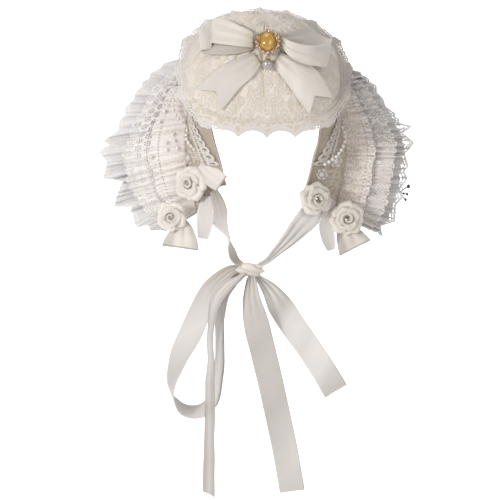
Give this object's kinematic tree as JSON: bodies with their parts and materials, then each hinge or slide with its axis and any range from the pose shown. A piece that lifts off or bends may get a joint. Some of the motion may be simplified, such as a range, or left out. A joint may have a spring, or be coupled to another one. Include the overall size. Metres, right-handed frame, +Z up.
{
  "type": "lace bonnet",
  "caption": "Lace and satin bonnet with a puffed oval crown, a jewelled ribbon bow, gathered side ruffles, satin roses and long ribbon ties.",
  "frame": {"origin": "the top of the head that the bonnet sits on, under the crown's middle", "axes": "+X to the viewer's right as the picture shows the front, +Y to the back of the head, +Z up"},
  "size_m": [0.4014, 0.1607, 0.6043],
  "materials": {
    "crown_lace": "cream lace over satin",
    "white_lace": "white cotton lace",
    "panel_cloth": "plain beige cloth",
    "satin": "ivory satin ribbon",
    "pearl": "pearl lustre",
    "gilt_metal": "gilt, set with cut stones",
    "amber_stone": "polished amber",
    "black_beads": "black tips on wire"
  },
  "bodies": {
    "root": {"crown_front": "crown_lace", "crown_back": "satin", "crown_lace_edge": "white_lace", "side_panel_left": "panel_cloth", "side_panel_right": "panel_cloth", "ruffle_front_left": "white_lace", "ruffle_front_right": "white_lace", "ruffle_middle_left": "white_lace", "ruffle_middle_right": "white_lace", "ruffle_back_left": "white_lace", "ruffle_back_right": "white_lace", "panel_lace_left": "white_lace", "panel_lace_right": "white_lace", "pearl_string_left": "pearl", "pearl_string_right": "pearl", "bow_loop_left": "satin", "bow_loop_right": "satin", "bow_tail_left": "satin", "bow_tail_right": "satin", "bow_knot": "satin", "brooch_setting": "gilt_metal", "brooch_stone": "amber_stone", "drop_link": "gilt_metal", "drop_pearl": "pearl", "rose_upper_left": "satin", "rose_lower_left": "satin", "rose_upper_right": "satin", "rose_lower_right": "satin", "ribbon_end_left": "satin", "ribbon_end_right": "satin", "lace_tab_left": "white_lace", "lace_tab_right": "white_lace", "tie_left": "satin", "tie_right": "satin", "tie_loop": "satin", "tie_tail_left": "satin", "tie_tail_middle": "satin", "tie_tail_right": "satin", "tie_knot": "satin", "black_sprig": "black_beads"}
  },
  "joints": []
}
